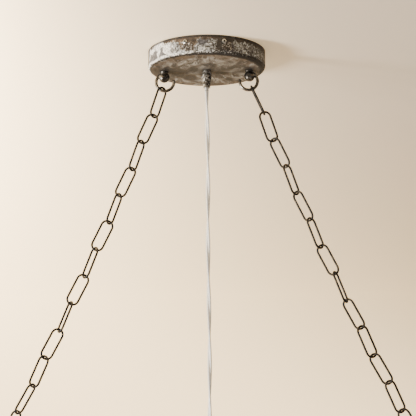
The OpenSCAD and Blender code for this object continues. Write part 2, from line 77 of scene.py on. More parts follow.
def settle(piece):
    activate(piece)
    bpy.ops.object.transform_apply(location=True, rotation=True, scale=True)


def inMetres(values):
    return [v * mm for v in values]


# Camera, at the photo's place: below the canopy and a little to its right

camera = {
    "place": (0.0479, -1.3467, -0.4219),
    "turn": 2.0,      # degrees to the left
    "tilt": 9.29,     # degrees up
    "roll": 0.24,
    "lens": 94.25,
    "sees": 50,       # metres
}


def makeCamera():
    turn = Matrix.Rotation(math.radians(camera["turn"]), 3, "Z")
    tilt = Matrix.Rotation(math.radians(90 + camera["tilt"]), 3, "X")
    roll = Matrix.Rotation(math.radians(-camera["roll"]), 3, "Z")
    bpy.ops.object.camera_add(location=camera["place"], rotation=(turn @ tilt @ roll).to_euler())
    eye = bpy.context.object
    eye.name = "photoCamera"
    eye.data.lens = camera["lens"]
    eye.data.clip_end = camera["sees"]
    bpy.context.scene.camera = eye


makeCamera()
print("stage: camera")


# Material helpers. A noise is given as its scale per metre, detail, roughness and distortion, a
# bend as its scale and how many metres it pulls a pattern about.

def newMaterial(name):
    material = bpy.data.materials.new(name)
    material.use_nodes = True
    tree = material.node_tree
    return material, tree, tree.nodes["Principled BSDF"]


def addNode(tree, kind, inputs=None, **settings):
    node = tree.nodes.new(kind)
    for key, value in settings.items():
        setattr(node, key, value)
    for key, value in (inputs or {}).items():
        socket = node.inputs[key]
        if isinstance(value, bpy.types.NodeSocket):
            tree.links.new(value, socket)
        else:
            socket.default_value = value
    return node


def objectPlace(tree):
    return addNode(tree, "ShaderNodeTexCoord").outputs["Object"]


def axesOf(tree, place):
    return addNode(tree, "ShaderNodeSeparateXYZ", {0: place}).outputs


def noise(tree, place, scale, detail=4.0, roughness=0.55, distortion=0.0):
    return addNode(tree, "ShaderNodeTexNoise", {
        "Vector": place, "Scale": scale, "Detail": detail,
        "Roughness": roughness, "Distortion": distortion}).outputs["Fac"]


def warped(tree, place, scale, amount):
    cloud = addNode(tree, "ShaderNodeTexNoise", {"Vector": place, "Scale": scale, "Detail": 3.0})
    centred = addNode(tree, "ShaderNodeVectorMath", {
        0: cloud.outputs["Color"], 1: (0.5, 0.5, 0.5)}, operation="SUBTRACT")
    scaled = addNode(tree, "ShaderNodeVectorMath", {0: centred.outputs[0], "Scale": amount},
                     operation="SCALE")
    return addNode(tree, "ShaderNodeVectorMath", {0: place, 1: scaled.outputs[0]},
                   operation="ADD").outputs[0]


def stretched(tree, place, scale):
    return addNode(tree, "ShaderNodeMapping", {"Vector": place, "Scale": scale}).outputs[0]


def cellColours(tree, place, scale):
    cells = addNode(tree, "ShaderNodeTexVoronoi", {"Vector": place, "Scale": scale})
    return addNode(tree, "ShaderNodeSeparateColor", {0: cells.outputs["Color"]}).outputs


def distanceTo(tree, place, spot):
    return addNode(tree, "ShaderNodeVectorMath", {0: place, 1: inMetres(spot)},
                   operation="DISTANCE").outputs["Value"]


def maths(tree, operation, a, b=0.0):
    return addNode(tree, "ShaderNodeMath", {0: a, 1: b}, operation=operation).outputs[0]


def times(tree, a, b):
    return maths(tree, "MULTIPLY", a, b)


def minus(tree, a, b):
    return maths(tree, "SUBTRACT", a, b)


def plus(tree, first, *others):
    for other in others:
        first = maths(tree, "ADD", first, other)
    return first


def between(tree, value, low, high, fromValue=0.0, toValue=1.0):
    return addNode(tree, "ShaderNodeMapRange", {
        "Value": value, "From Min": low, "From Max": high,
        "To Min": fromValue, "To Max": toValue},
        interpolation_type="SMOOTHSTEP").outputs[0]


def ramp(tree, value, stops):
    node = addNode(tree, "ShaderNodeValToRGB", {"Fac": value})
    band = node.color_ramp
    while len(band.elements) < len(stops):
        band.elements.new(0.5)
    for element, (place, colour) in zip(band.elements, stops):
        element.position = place
        element.color = (*colour, 1.0)
    return node.outputs[0]


def blendColours(tree, amount, below, above, mode="MIX"):
    node = addNode(tree, "ShaderNodeMix", {"Factor": amount}, data_type="RGBA", blend_type=mode)
    for socket, value in ((node.inputs[6], below), (node.inputs[7], above)):
        if isinstance(value, bpy.types.NodeSocket):
            tree.links.new(value, socket)
        else:
            socket.default_value = (*value, 1.0)
    return node.outputs[2]


def bump(tree, shader, height, strength, distance):
    node = addNode(tree, "ShaderNodeBump", {
        "Height": height, "Strength": strength, "Distance": distance})
    tree.links.new(node.outputs[0], shader.inputs["Normal"])


# Worn silver and white leaf over a brown-grey ground, on the frame, its stem and the drip pans

leaf = {
    "slate": (0.17, 0.165, 0.17),
    "charcoal": (0.028, 0.025, 0.022),
    # silver to white on the leaf, charcoal over brown and tan to sand on the ground
    "tones": {
        "leaf": [(0.30, (0.40, 0.39, 0.37)), (0.50, (0.62, 0.61, 0.59)),
                 (0.62, (0.80, 0.79, 0.76))],
        "ground": [(0.34, (0.028, 0.025, 0.022)), (0.47, (0.13, 0.088, 0.055)),
                   (0.60, (0.40, 0.27, 0.155)), (0.72, (0.55, 0.45, 0.33))],
    },
    "noises": {"patches": (24, 5.0, 0.62, 0.4), "blotches": (80, 6.0, 0.68),
               "fine": (700, 3.0, 0.6), "ground": (42, 7.0, 0.66)},
    "flakes": 95,       # per metre
    "crackle": 260,     # per metre
    "bends": {"flakes": (60, 0.010), "crackle": (240, 0.004)},
    # where each layer begins and where it is full
    "steps": {"covered": (0.70, 0.78), "slate": (0.74, 0.76), "cracks": (0.10, 0.02),
              "crackedParts": (0.58, 0.42)},
    # how much of each goes in
    "shares": {"patches": 0.9, "blotches": 0.6, "slate": 0.85, "cracks": 0.75},
    "relief": {"covered": 0.7, "blotches": 0.9, "fine": 0.35, "cracks": 0.5},
    "roughness": (0.72, 0.42),      # of the ground and of the leaf
    "metal": 0.35,
    "bump": (0.55, 0.0006),
}


def leafMaterial():
    material, tree, shader = newMaterial("distressedLeaf")
    noises, steps, shares, relief = (leaf[k] for k in ("noises", "steps", "shares", "relief"))
    place = objectPlace(tree)
    bent = warped(tree, place, *leaf["bends"]["flakes"])
    blotches = noise(tree, bent, *noises["blotches"])
    worn = plus(tree, times(tree, noise(tree, place, *noises["patches"]), shares["patches"]),
                times(tree, blotches, shares["blotches"]))
    covered = between(tree, worn, *steps["covered"])

    # the leaf, with some slate flakes and dark cracks
    tone = ramp(tree, blotches, leaf["tones"]["leaf"])
    slate = between(tree, cellColours(tree, bent, leaf["flakes"])[0], *steps["slate"])
    tone = blendColours(tree, times(tree, slate, shares["slate"]), tone, leaf["slate"])
    crackle = addNode(tree, "ShaderNodeTexVoronoi", {
        "Vector": warped(tree, place, *leaf["bends"]["crackle"]), "Scale": leaf["crackle"]},
        feature="DISTANCE_TO_EDGE").outputs["Distance"]
    cracks = times(tree, between(tree, crackle, *steps["cracks"]),
                   between(tree, blotches, *steps["crackedParts"]))
    tone = blendColours(tree, times(tree, cracks, shares["cracks"]), tone, leaf["charcoal"])

    ground = ramp(tree, noise(tree, bent, *noises["ground"]), leaf["tones"]["ground"])
    height = plus(tree, times(tree, covered, relief["covered"]),
                  times(tree, blotches, relief["blotches"]),
                  times(tree, noise(tree, place, *noises["fine"]), relief["fine"]))
    height = minus(tree, height, times(tree, cracks, relief["cracks"]))
    tree.links.new(blendColours(tree, covered, ground, tone), shader.inputs["Base Color"])
    tree.links.new(between(tree, covered, 0.0, 1.0, *leaf["roughness"]),
                   shader.inputs["Roughness"])
    tree.links.new(times(tree, covered, leaf["metal"]), shader.inputs["Metallic"])
    bump(tree, shader, height, *leaf["bump"])
    return material


# The same on the canopy, where the photo shows how it is worn

# Besides real wear, some of these marks are painted shadow, painted shade and painted highlight
canopyWearAndShade = {
    "reach": 75,        # mm from the middle to the left and the right edge
    # how much leaf is left along the front, from the left edge to the right one
    "cover": [(0.0, 0.98), (0.17, 0.93), (0.23, 0.55), (0.30, 0.46), (0.335, 0.24), (0.40, 0.30),
              (0.44, 0.66), (0.55, 0.70), (0.60, 0.48), (0.64, 0.20), (0.70, 0.30), (0.75, 0.66),
              (0.87, 0.70), (0.94, 0.48), (1.0, 0.55)],
    # the ground's tone along the same way
    "ground": [(0.0, (0.36, 0.29, 0.21)), (0.22, (0.46, 0.38, 0.28)), (0.31, (0.24, 0.17, 0.11)),
               (0.36, (0.070, 0.055, 0.043)), (0.46, (0.24, 0.19, 0.135)),
               (0.60, (0.066, 0.061, 0.056)), (0.70, (0.042, 0.040, 0.039)),
               (0.84, (0.080, 0.087, 0.096)), (0.95, (0.17, 0.172, 0.170))],
    # tones that follow a noise
    "tones": {
        "silver": [(0.39, (0.030, 0.029, 0.028)), (0.47, (0.14, 0.141, 0.141)),
                   (0.54, (0.33, 0.337, 0.337)), (0.64, (0.80, 0.81, 0.80))],
        "white": [(0.36, (0.24, 0.235, 0.23)), (0.47, (0.74, 0.74, 0.73)),
                  (0.56, (0.94, 0.94, 0.93))],
        "slate": [(0.4, (0.040, 0.039, 0.044)), (0.6, (0.12, 0.117, 0.126))],
        "grime": [(0.38, (0.16, 0.15, 0.14)), (0.47, (0.60, 0.58, 0.55)),
                  (0.57, (1.0, 0.98, 0.95)), (0.66, (2.1, 2.05, 1.95))],
        "lump": [(0.38, leaf["charcoal"]), (0.50, (0.050, 0.041, 0.034)),
                 (0.57, (0.13, 0.11, 0.095)), (0.64, (0.85, 0.83, 0.78))],
        "floor": [(0.36, (0.026, 0.022, 0.018)), (0.44, (0.075, 0.063, 0.050)),
                  (0.50, (0.135, 0.117, 0.095)), (0.56, (0.205, 0.187, 0.160)),
                  (0.66, (0.35, 0.333, 0.300))],
    },
    # single paints, and how much of each goes on
    "paints": {
        "band": ((0.060, 0.043, 0.031), 1.0),
        # dark dirt, which also carries painted shade at the wall's far left and right edges
        "dirtAndEdgeShade": ((0.030, 0.026, 0.022), 0.85),
        # painted contact shadow along the top of the wall, under the ceiling
        "topShadow": ((0.022, 0.018, 0.015), 0.85),
        "chalk": ((0.42, 0.41, 0.385), 0.6),
        "scratch": ((0.026, 0.022, 0.018), 0.90),
        "rim": ((0.10, 0.068, 0.042), 0.7),
        # painted shadows of the hooks and the grip on the floor
        "fittingShadow": ((0.024, 0.020, 0.016), 0.85),
        # painted highlight along the turn of the edge
        "edgeHighlight": ((0.86, 0.85, 0.80), 1.0),
        # painted shade line in the turn of the edge
        "line": ((0.016, 0.014, 0.012), 1.0),
    },
    "noises": {"large": (34, 3.0, 0.55), "middle": (95, 4.0, 0.6), "small": (420, 5.0, 0.72),
               "fine": (900, 2.0, 0.6), "pepper": (620, 4.0, 0.75), "grime": (190, 6.0, 0.72),
               "lump": (450, 4.0, 0.75), "swirl": (44, 7.0, 0.58, 0.9),
               "scrape": (105, 7.0, 0.72, 0.7)},
    "bends": {"patches": (45, 0.008), "along": (38, 0.018), "sheets": (110, 0.003),
              "floor": (20, 0.034)},
    "sheets": 86,                       # sheets of leaf per metre
    "floorStretch": (1.0, 0.55, 1.0),
    # where each layer begins and where it is full, and how much it is there if not 0 and 1
    "steps": {"covered": (1.32, 1.44), "white": (0.46, 0.30), "slate": (0.78, 0.80),
              "band": (0.64, 0.46), "edgeShade": (0.474, 0.496, 0.0, 0.42), "dirtAndEdgeShade": (0.585, 0.66),
              "chalk": (0.55, 0.64), "scratch": (0.50, 0.41), "rim": (0.62, 0.44),
              "line": (0.50, 0.80), "edgeHighlight": (0.36, 0.46)},
    # the same in mm of height, of radius or away from a spot
    "spans": {"under": (-8.5, -2.5), "topShadow": (-4.6, -3.4), "lump": (15.8, 12.8),
              "rim": (50, 68), "fittingShadow": (36, 14), "line": (0.4, -0.4), "shadeLineWidth": (0.4, 3.6),
              "edgeHighlight": (1.1, 0.4), "low": (-18.5, -20.5), "floor": (-22.4, -23.0)},
    # how far a noise moves an edge, mm
    "wander": {"topShadow": -2.4, "lump": 16, "fittingShadow": 12, "edge": 5},
    # how much one thing adds to another
    "shares": {"middle": 0.9, "large": 0.6, "small": 0.7, "cover": 0.62, "under": 0.42,
               "whiteBlotches": 0.3, "slateOnWhite": 0.22, "slate": 0.93, "dirtAlong": 0.12,
               "shadeLineAlong": 0.34, "edgeHighlightAlong": 0.20},
    "relief": {"covered": 0.8, "fine": 0.4, "lump": 0.9, "scrape": 0.7},
    "line": 74.0,       # mm, radius of the painted shade line round the floor, less its wander
    "edgeHighlight": 76.6,      # and of the painted highlight line beside it
    "lumps": ((-21.5, -72.0, -15.0), (28.5, -70.0, -14.5)),   # under the two front screws
    "fittingShadow": ((-48.0, 2.0, -24.0), (64.0, 2.0, -24.0), (7.0, 2.0, -24.0)),   # painted shadows, a little to the right of the fittings
    "fittingShadowStretch": 0.6,
    "roughness": (0.66, 0.55),          # of the ground and of the leaf
    "metal": 0.10,
    "gloss": 0.28,
    "bump": (0.8, 0.0008),
}


# places and noises that the canopy's layers share
def canopyPatterns(tree):
    noises, bends = canopyWearAndShade["noises"], canopyWearAndShade["bends"]
    place = objectPlace(tree)
    x, y, z = axesOf(tree, place)
    bent = warped(tree, place, *bends["patches"])
    flat = addNode(tree, "ShaderNodeCombineXYZ", {0: x, 1: y}).outputs[0]
    on = {name: noise(tree, place, *noises[name]) for name in ("large", "small", "fine", "pepper")}
    on["middle"] = noise(tree, bent, *noises["middle"])
    on["radius"] = addNode(tree, "ShaderNodeVectorMath", {0: flat},
                           operation="LENGTH").outputs["Value"]
    on["along"] = addNode(tree, "ShaderNodeMapRange", {
        "Value": axesOf(tree, warped(tree, place, *bends["along"]))[0],
        "From Min": -canopyWearAndShade["reach"] * mm, "From Max": canopyWearAndShade["reach"] * mm}).outputs[0]
    on["under"] = between(tree, z, *inMetres(canopyWearAndShade["spans"]["under"]))
    on.update(place=place, bent=bent, z=z)
    return on


def paintOver(tree, colour, mask, name):
    paint, share = canopyWearAndShade["paints"][name]
    return blendColours(tree, times(tree, mask, share), colour, paint)


# leaf: white on the left, silver-grey crackle further right, slate where sheets overlap
def canopyLeaf(tree, on):
    steps, shares, tones = (canopyWearAndShade[k] for k in ("steps", "shares", "tones"))
    silver, white, slateTone = (ramp(tree, on["small"], tones[k])
                                for k in ("silver", "white", "slate"))
    whiteness = between(tree, plus(tree, on["along"],
                                   times(tree, on["middle"], shares["whiteBlotches"])),
                        *steps["white"])
    sheets = warped(tree, on["place"], *canopyWearAndShade["bends"]["sheets"])
    chance = cellColours(tree, sheets, canopyWearAndShade["sheets"])[1]
    rarer = plus(tree, chance, times(tree, whiteness, shares["slateOnWhite"]))
    slate = times(tree, between(tree, rarer, *steps["slate"]), shares["slate"])
    return blendColours(tree, slate, blendColours(tree, whiteness, silver, white), slateTone)


# ground that shows where the leaf is gone, with a brown band under the ceiling
def canopyGround(tree, on):
    grime = ramp(tree, noise(tree, on["bent"], *canopyWearAndShade["noises"]["grime"]),
                 canopyWearAndShade["tones"]["grime"])
    ground = blendColours(tree, 1.0, ramp(tree, on["along"], canopyWearAndShade["ground"]), grime,
                          "MULTIPLY")
    band = between(tree, on["middle"], *canopyWearAndShade["steps"]["band"])
    return paintOver(tree, ground, times(tree, on["under"], band), "band")


def canopyWall(tree, on):
    steps, shares, spans, wander, relief = (
        canopyWearAndShade[k] for k in ("steps", "shares", "spans", "wander", "relief"))
    cover = ramp(tree, on["along"], [(p, (v, v, v)) for p, v in canopyWearAndShade["cover"]])
    cover = minus(tree, cover, times(tree, on["under"], shares["under"]))
    worn = plus(tree, *(times(tree, on[k], shares[k]) for k in ("middle", "large", "small")),
                times(tree, cover, shares["cover"]))
    covered = between(tree, worn, *steps["covered"])
    wall = blendColours(tree, covered, canopyGround(tree, on), canopyLeaf(tree, on))

    # dark dirt peppered all over, more of it to the right, and painted shade as a dark edge at the
    # far left and far right of the wall
    side = maths(tree, "ABSOLUTE", minus(tree, on["along"], 0.5))
    dirtAndEdgeShadeAmount = plus(tree, on["pepper"], times(tree, on["along"], shares["dirtAlong"]),
                 between(tree, side, *steps["edgeShade"]))
    wall = paintOver(tree, wall, between(tree, dirtAndEdgeShadeAmount, *steps["dirtAndEdgeShade"]), "dirtAndEdgeShade")
    # painted contact shadow along the top of the wall, under the ceiling
    topShadow = plus(tree, on["z"], times(tree, on["pepper"], wander["topShadow"] * mm))
    wall = paintOver(tree, wall, between(tree, topShadow, *inMetres(spans["topShadow"])), "topShadow")
    height = plus(tree, times(tree, covered, relief["covered"]), on["small"],
                  times(tree, on["fine"], relief["fine"]))

    # lumps of rust and solder under the front screws
    speckle = ramp(tree, noise(tree, on["place"], *canopyWearAndShade["noises"]["lump"]),
                   canopyWearAndShade["tones"]["lump"])
    for spot in canopyWearAndShade["lumps"]:
        away = plus(tree, distanceTo(tree, on["place"], spot),
                    times(tree, on["middle"], wander["lump"] * mm))
        lump = between(tree, away, *inMetres(spans["lump"]))
        wall = blendColours(tree, lump, wall, speckle)
        height = plus(tree, height, times(tree, lump, relief["lump"]))
    return wall, height, covered


# floor: half rubbed whitewash over brown, in broad arcs
def canopyFloor(tree, on):
    noises, steps, spans = (canopyWearAndShade[k] for k in ("noises", "steps", "spans"))
    drawn = stretched(tree, warped(tree, on["place"], *canopyWearAndShade["bends"]["floor"]),
                      canopyWearAndShade["floorStretch"])
    swirl = noise(tree, drawn, *noises["swirl"])
    scrape = noise(tree, drawn, *noises["scrape"])
    floor = ramp(tree, swirl, canopyWearAndShade["tones"]["floor"])
    floor = paintOver(tree, floor, between(tree, scrape, *steps["chalk"]), "chalk")
    floor = paintOver(tree, floor, between(tree, scrape, *steps["scratch"]), "scratch")
    rim = times(tree, between(tree, on["radius"], *inMetres(spans["rim"])),
                between(tree, on["middle"], *steps["rim"]))
    floor = paintOver(tree, floor, rim, "rim")

    # painted shadows of the hooks and the grip, cast to their right on the floor
    stretch = canopyWearAndShade["fittingShadowStretch"]
    broad = stretched(tree, on["place"], (stretch, 1.0, 1.0))
    for x, y, z in canopyWearAndShade["fittingShadow"]:
        away = plus(tree, distanceTo(tree, broad, (x * stretch, y, z)),
                    times(tree, scrape, canopyWearAndShade["wander"]["fittingShadow"] * mm))
        floor = paintOver(tree, floor, between(tree, away, *inMetres(spans["fittingShadow"])), "fittingShadow")
    return floor, plus(tree, swirl, times(tree, scrape, canopyWearAndShade["relief"]["scrape"]))


# painted shade as a dark line in the turn of the edge, heavier on the shaded right, and a painted
# highlight as a bright line beside it, fainter to the right
def canopyEdge(tree, on, colour):
    steps, spans, shares = (canopyWearAndShade[k] for k in ("steps", "spans", "shares"))
    edge = plus(tree, on["radius"], times(tree, on["middle"], canopyWearAndShade["wander"]["edge"] * mm))
    offShadeLine, offEdgeHighlight = (maths(tree, "ABSOLUTE", minus(tree, edge, canopyWearAndShade[k] * mm))
                         for k in ("line", "edgeHighlight"))
    heavy = plus(tree, times(tree, on["along"], shares["shadeLineAlong"]), on["pepper"])
    thick = between(tree, heavy, *steps["line"], *inMetres(spans["shadeLineWidth"]))
    line = between(tree, minus(tree, offShadeLine, thick), *inMetres(spans["line"]))
    highlightPatches = minus(tree, on["small"], times(tree, on["along"], shares["edgeHighlightAlong"]))
    edgeHighlight = times(tree, between(tree, offEdgeHighlight, *inMetres(spans["edgeHighlight"])),
                  between(tree, highlightPatches, *steps["edgeHighlight"]))
    low = between(tree, on["z"], *inMetres(spans["low"]))
    colour = paintOver(tree, colour, times(tree, edgeHighlight, low), "edgeHighlight")
    return paintOver(tree, colour, times(tree, line, low), "line")


def canopyMaterial():
    material, tree, shader = newMaterial("canopyLeaf")
    on = canopyPatterns(tree)
    wall, wallHeight, covered = canopyWall(tree, on)
    floor, floorHeight = canopyFloor(tree, on)
    isFloor = between(tree, on["z"], *inMetres(canopyWearAndShade["spans"]["floor"]))
    colour = canopyEdge(tree, on, blendColours(tree, isFloor, wall, floor))
    tree.links.new(colour, shader.inputs["Base Color"])
    leafy = times(tree, covered, minus(tree, 1.0, isFloor))
    tree.links.new(between(tree, leafy, 0.0, 1.0, *canopyWearAndShade["roughness"]),
                   shader.inputs["Roughness"])
    tree.links.new(times(tree, leafy, canopyWearAndShade["metal"]), shader.inputs["Metallic"])
    shader.inputs["Specular IOR Level"].default_value = canopyWearAndShade["gloss"]
    height = addNode(tree, "ShaderNodeMix", {0: isFloor, 2: wallHeight, 3: floorHeight})
    bump(tree, shader, height.outputs[0], *canopyWearAndShade["bump"])
    return material


# Dark antique iron, almost black on the links, with more sheen and brown on the turned pieces

iron = {
    "darkIron": {"tones": [(0.38, (0.006, 0.005, 0.0045)), (0.56, (0.020, 0.016, 0.012)),
                           (0.68, (0.075, 0.062, 0.048))],
                 "grain": 150, "metal": 0.35, "roughness": (0.36, 0.58), "gloss": 0.3},
    "turnedIron": {"tones": [(0.36, (0.026, 0.023, 0.020)), (0.50, (0.100, 0.090, 0.078)),
                             (0.64, (0.36, 0.345, 0.315))],
                   "grain": 95, "metal": 0.9, "roughness": (0.24, 0.42), "gloss": 0.5},
    "darkBronze": {"tones": [(0.38, (0.014, 0.012, 0.010)), (0.47, (0.060, 0.052, 0.044)),
                             (0.54, (0.24, 0.225, 0.20)), (0.62, (0.66, 0.64, 0.60))],
                   "grain": 330, "metal": 0.55, "roughness": (0.30, 0.50), "gloss": 0.5},
}

ironSurface = {
    "blotch": (5.0, 0.62),      # detail and roughness, after each iron's own grain
    "pits": (900, 4.0, 0.6),
    "pitted": (0.35, 0.65),
    "pitDepth": 0.4,
    "bump": (0.4, 0.0003),
}


def ironMaterial(name):
    settings = iron[name]
    material, tree, shader = newMaterial(name)
    place = objectPlace(tree)
    blotch = noise(tree, place, settings["grain"], *ironSurface["blotch"])
    pits = noise(tree, place, *ironSurface["pits"])
    tree.links.new(ramp(tree, blotch, settings["tones"]), shader.inputs["Base Color"])
    tree.links.new(between(tree, pits, *ironSurface["pitted"], *settings["roughness"]),
                   shader.inputs["Roughness"])
    shader.inputs["Metallic"].default_value = settings["metal"]
    shader.inputs["Specular IOR Level"].default_value = settings["gloss"]
    height = plus(tree, blotch, times(tree, pits, ironSurface["pitDepth"]))
    bump(tree, shader, height, *ironSurface["bump"])
    return material


# Plain metals, a little cloudy and scuffed

metalSurface = {
    "cloud": (160, 4.0, 0.55),
    "clouded": (0.38, 0.56),
    "dark": 0.62,               # of the colour, in its clouds
    "detail": 3.0,
    "scuffed": (0.3, 0.7),
    "scuffs": (-0.07, 0.09),    # added to the roughness
    "bump": (0.15, 0.0002),
}


def metalMaterial(name, colour, roughness, grain=1200, metallic=1.0):
    material, tree, shader = newMaterial(name)
    place = objectPlace(tree)
    first, last = metalSurface["clouded"]
    dark = tuple(metalSurface["dark"] * c for c in colour)
    tone = ramp(tree, noise(tree, place, *metalSurface["cloud"]), [(first, dark), (last, colour)])
    tree.links.new(tone, shader.inputs["Base Color"])
    scuffs = noise(tree, place, grain, metalSurface["detail"])
    tree.links.new(between(tree, scuffs, *metalSurface["scuffed"],
                           *(roughness + more for more in metalSurface["scuffs"])),
                   shader.inputs["Roughness"])
    shader.inputs["Metallic"].default_value = metallic
    bump(tree, shader, scuffs, *metalSurface["bump"])
    return material


screw = {
    "colour": (0.44, 0.43, 0.40),
    "roughness": 0.34,
    "grain": 700,
    "recess": (24.05, 71.9, 7.5),     # mm, middle of a side screw's recess, the same on all four
    "recessShadeEdge": (1.7, 1.2),         # mm from its middle, where the painted shade in it begins and where it is full
    "recessShade": (0.010, 0.009, 0.008),
}


def screwMaterial():
    material = metalMaterial("wornScrewSteel", screw["colour"], screw["roughness"], screw["grain"])
    tree = material.node_tree
    shader = tree.nodes["Principled BSDF"]
    # painted shade filling the recess of each of the four screw heads
    turned = addNode(tree, "ShaderNodeVectorMath", {0: objectPlace(tree)}, operation="ABSOLUTE")
    away = distanceTo(tree, turned.outputs[0], screw["recess"])
    tone = shader.inputs["Base Color"].links[0].from_socket
    dark = between(tree, away, *inMetres(screw["recessShadeEdge"]))
    tree.links.new(blendColours(tree, dark, tone, screw["recessShade"]),
                   shader.inputs["Base Color"])
    return material


# Candle sleeves, the clear cord jacket and the bulbs' glass

ivory = {
    "streaks": (120, 4.0, 0.5),
    "stretch": (1.0, 1.0, 0.3),
    "tones": [(0.35, (0.70, 0.63, 0.49)), (0.6, (0.84, 0.79, 0.67))],
    "roughness": (0.3, 0.7, 0.38, 0.5),     # two steps of the streaks, and how rough they are
    "lightInside": 0.12,
    "lightReach": (0.004, 0.003, 0.002),
    "bumps": (500, 3.0),
    "bump": (0.08, 0.0002),
}


def ivoryMaterial():
    material, tree, shader = newMaterial("ivorySleeve")
    place = objectPlace(tree)
    streaks = noise(tree, stretched(tree, place, ivory["stretch"]), *ivory["streaks"])
    tree.links.new(ramp(tree, streaks, ivory["tones"]), shader.inputs["Base Color"])
    tree.links.new(between(tree, streaks, *ivory["roughness"]), shader.inputs["Roughness"])
    shader.inputs["Subsurface Weight"].default_value = ivory["lightInside"]
    shader.inputs["Subsurface Radius"].default_value = ivory["lightReach"]
    bump(tree, shader, noise(tree, place, *ivory["bumps"]), *ivory["bump"])
    return material


clearSurface = {
    "cloud": (260, 3.0),
    "clouded": (0.4, 0.6),
    "paler": 1.06,
    "scuffed": (0.3, 0.7),
    "scuffs": (0.7, 1.3),       # shares of the roughness
}


def clearMaterial(name, colour, alpha, roughness):
    material, tree, shader = newMaterial(name)
    cloud = noise(tree, objectPlace(tree), *clearSurface["cloud"])
    first, last = clearSurface["clouded"]
    pale = tuple(min(1.0, clearSurface["paler"] * c) for c in colour)
    tree.links.new(ramp(tree, cloud, [(first, colour), (last, pale)]), shader.inputs["Base Color"])
    tree.links.new(between(tree, cloud, *clearSurface["scuffed"],
                           *(roughness * share for share in clearSurface["scuffs"])),
                   shader.inputs["Roughness"])
    shader.inputs["Alpha"].default_value = alpha
    return material


finishes = {
    "canopy": canopyMaterial(),
    "distressed_leaf": leafMaterial(),
    "dark_iron": ironMaterial("darkIron"),
    "turned_iron": ironMaterial("turnedIron"),
    "zinc_steel": metalMaterial("zincSteel", (0.62, 0.63, 0.64), 0.36),
    "screw_steel": screwMaterial(),
    "dark_bronze": ironMaterial("darkBronze"),
    "earth_green": metalMaterial("earthGreen", (0.10, 0.34, 0.14), 0.45, metallic=0.3),
    "socket_brass": metalMaterial("socketBrass", (0.72, 0.55, 0.27), 0.3),
    "ivory_sleeve": ivoryMaterial(),
    "clear_cord": clearMaterial("clearJacket", (0.84, 0.85, 0.85), alpha=0.68, roughness=0.16),
    "lamp_glass": clearMaterial("lampGlass", (0.96, 0.96, 0.95), alpha=0.16, roughness=0.03),
    "filament": metalMaterial("tungsten", (0.30, 0.27, 0.24), 0.4),
    "strands": metalMaterial("tinnedStrands", (0.80, 0.83, 0.86), 0.35, metallic=0.5),
}

ownFinish = {      # pieces whose look differs from the others in their slot
    "canopy": "canopy", "canopy_screws": "screw_steel", "left_hook": "turned_iron",
    "right_hook": "turned_iron", "hook_collars": "turned_iron", "left_eye": "turned_iron",
    "right_eye": "turned_iron",
}


def dress(piece, finish):
    piece.data.materials.clear()
    piece.data.materials.append(finishes[finish])


def dressCadNodes():
    slots = {s["node"]: s["material_slot"] for s in frame["record"]["subparts"]}
    for name, piece in nodes.items():
        dress(piece, ownFinish.get(name, slots[name]))


dressCadNodes()
print("stage: finishes on the CAD pieces")


# Clear flat twin cord: jacket and two tinned cores, on the route that part.scad gives it

cord = {
    "route": [
        (0, 0, -38), (0, 0, -60), (0.8, 0, -110), (1.2, -0.5, -170), (0.8, -0.8, -230),
        (1.2, -0.5, -290), (2, 0, -350), (2.2, 0.5, -410), (1.8, 0.6, -470), (1.4, 0.2, -530),
        (1.4, -0.3, -590), (1, -0.4, -650), (0.5, -0.2, -710), (0.2, 0, -770), (0, 0, -820),
        (0, 0, -852)],
    "width": 5.6,
    "thickness": 2.8,
    "twist": 145,           # mm for a full turn
    "phase": 10,            # degrees
    "steps": {"jacket": 3.0, "core": 1.4, "path": 6},     # mm
    "points": {"jacket": 32, "core": 21},                 # round a section
    "furrow": 0.32,         # how deep the furrow between the two cores is
    "furrowWidth": 0.55,
    "coreRadius": 0.72,
    "strands": 7,           # in a core
    "strandDepth": 0.1,     # how far they stand out, as a share of its radius
    "strandLay": 14,        # mm for one turn of the strands
    "exit": (0, 0, -0.046),     # metres, at the grip's mouth
    # the cord bends beside its two grips, so the ends they hold are pieces of their own, and
    # each is parted from the long piece at the height that the body turns about
    "parts": {
        "": {"body": "cord", "top": -48.95, "end": -837.4},
        "Top": {"body": "ceiling_canopy", "top": -38, "end": -48.85},
        "Foot": {"body": "frame", "top": -837.5, "end": -852},
    },
}


# the middle of the cord at a height, on a smooth curve through the route's points
def routeAt(z):
    route = cord["route"]
    for i in range(len(route) - 1):
        if route[i][2] >= z >= route[i + 1][2]:
            break
    low = max(i - 1, 0)
    high = min(i + 2, len(route) - 1)
    a, b, c, d = route[low], route[i], route[i + 1], route[high]
    t = (b[2] - z) / (b[2] - c[2])
    point = []
    for axis in (0, 1):
        slopeB = (c[axis] - a[axis]) / (a[2] - c[2]) * (b[2] - c[2])
        slopeC = (d[axis] - b[axis]) / (b[2] - d[2]) * (b[2] - c[2])
        point.append((2 * t**3 - 3 * t**2 + 1) * b[axis] + (t**3 - 2 * t**2 + t) * slopeB
                     + (3 * t**2 - 2 * t**3) * c[axis] + (t**3 - t**2) * slopeC)
    return point[0], point[1]


def heightsOf(part, step):
    top, end = part["top"], part["end"]
    count = round((top - end) / step)
    return [top + (end - top) * i / count for i in range(count + 1)]


